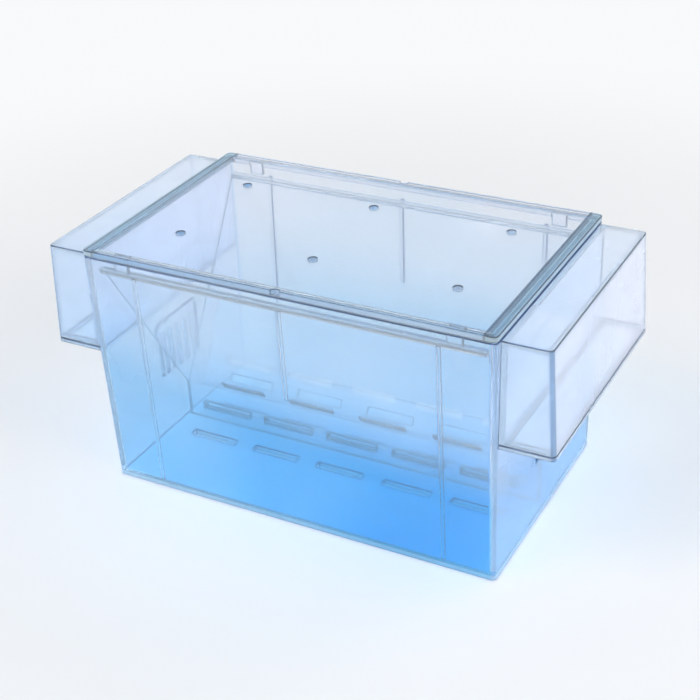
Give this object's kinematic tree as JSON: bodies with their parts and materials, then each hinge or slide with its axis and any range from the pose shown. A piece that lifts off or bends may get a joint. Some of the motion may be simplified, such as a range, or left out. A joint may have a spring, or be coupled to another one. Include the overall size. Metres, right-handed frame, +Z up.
{
  "type": "fish breeding box",
  "caption": "Clear floating fish breeding trap: a drafted tank with an air chamber on each end, a flat vented lid and a removable slotted V insert.",
  "frame": {"origin": "under the middle of the tank, on the plane that the tank's floor stands on", "axes": "+X along the tank's length towards the right float, +Y across the tank to its rear wall, +Z up to the lid"},
  "size_m": [0.2002, 0.1, 0.0986],
  "materials": {
    "tank_plastic": "clear moulded polystyrene, glossy, with a pale blue cast",
    "float_plastic": "clear moulded polystyrene, glossy",
    "lid_plastic": "clear moulded polystyrene, glossy",
    "insert_plastic": "clear moulded polystyrene, glossy"
  },
  "bodies": {
    "tank_body": {"tank": "tank_plastic", "left_float": "float_plastic", "right_float": "float_plastic", "left_float_cover": "float_plastic", "right_float_cover": "float_plastic"},
    "lid_body": {"lid": "lid_plastic"},
    "insert_body": {"insert_front_panel": "insert_plastic", "insert_rear_panel": "insert_plastic"}
  },
  "joints": [
    {"name": "lid_lift", "type": "slide", "parent": "tank_body", "child": "lid_body", "axis": [0, 0, 1], "range_m": [0, 0.21]},
    {"name": "insert_lift", "type": "slide", "parent": "tank_body", "child": "insert_body", "axis": [0, 0, 1], "range_m": [0, 0.105]}
  ],
  "couplings": [
    {"joint": "insert_lift", "follows": "lid_lift", "ratio": 0.5}
  ]
}
